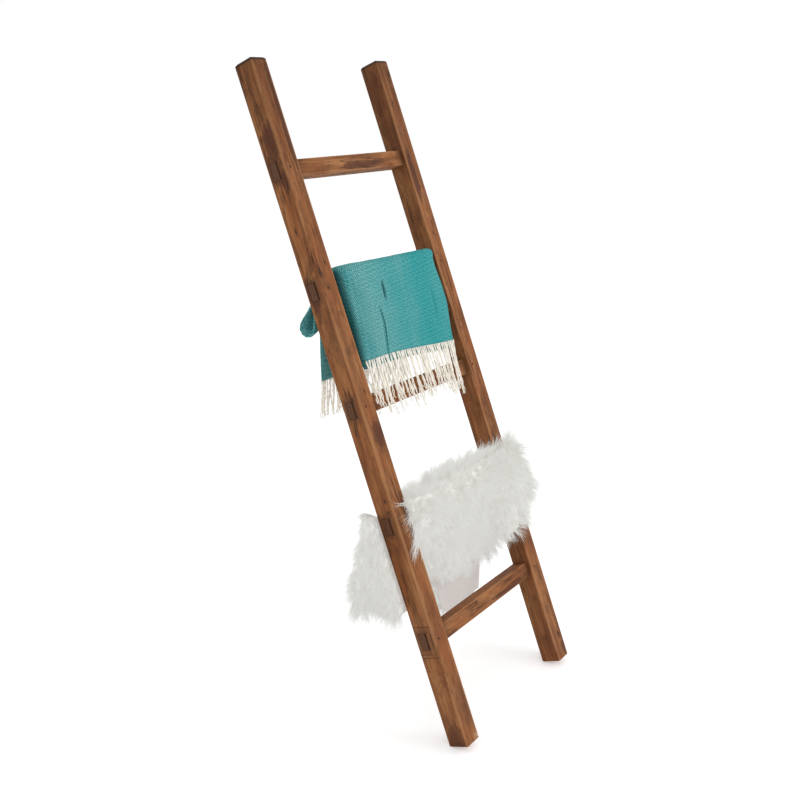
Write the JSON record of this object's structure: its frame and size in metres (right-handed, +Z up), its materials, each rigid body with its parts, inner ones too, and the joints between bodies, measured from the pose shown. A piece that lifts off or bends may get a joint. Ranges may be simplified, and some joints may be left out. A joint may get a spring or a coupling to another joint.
{
  "type": "blanket ladder",
  "caption": "Leaning blanket ladder of old timber with wedged through tenons, carrying a folded fringed throw and a sheepskin.",
  "frame": {"origin": "on the floor, under the middle of the leaning ladder", "axes": "+X along the rungs to the viewer's right, +Y back towards the wall that the ladder leans on, +Z up"},
  "size_m": [0.6484, 0.6926, 1.6467],
  "materials": {
    "timber": "satin",
    "dark_timber": "matte",
    "patch_timber": "satin",
    "woven_cloth": "matte",
    "fringe_yarn": "matte",
    "suede": "matte",
    "fleece": "matte"
  },
  "bodies": {
    "root": {"left_rail": "timber", "right_rail": "timber", "bottom_rung": "timber", "fourth_rung": "timber", "third_rung": "timber", "second_rung": "timber", "top_rung": "timber", "left_tenon_wedges": "dark_timber", "right_tenon_wedges": "dark_timber", "left_joint_pins": "dark_timber", "right_joint_pins": "dark_timber", "left_rail_patch": "patch_timber", "throw": "woven_cloth", "throw_front_fringe": "fringe_yarn", "throw_rear_fringe": "fringe_yarn", "sheepskin_hide": "suede", "sheepskin_wool": "fleece"}
  },
  "joints": []
}
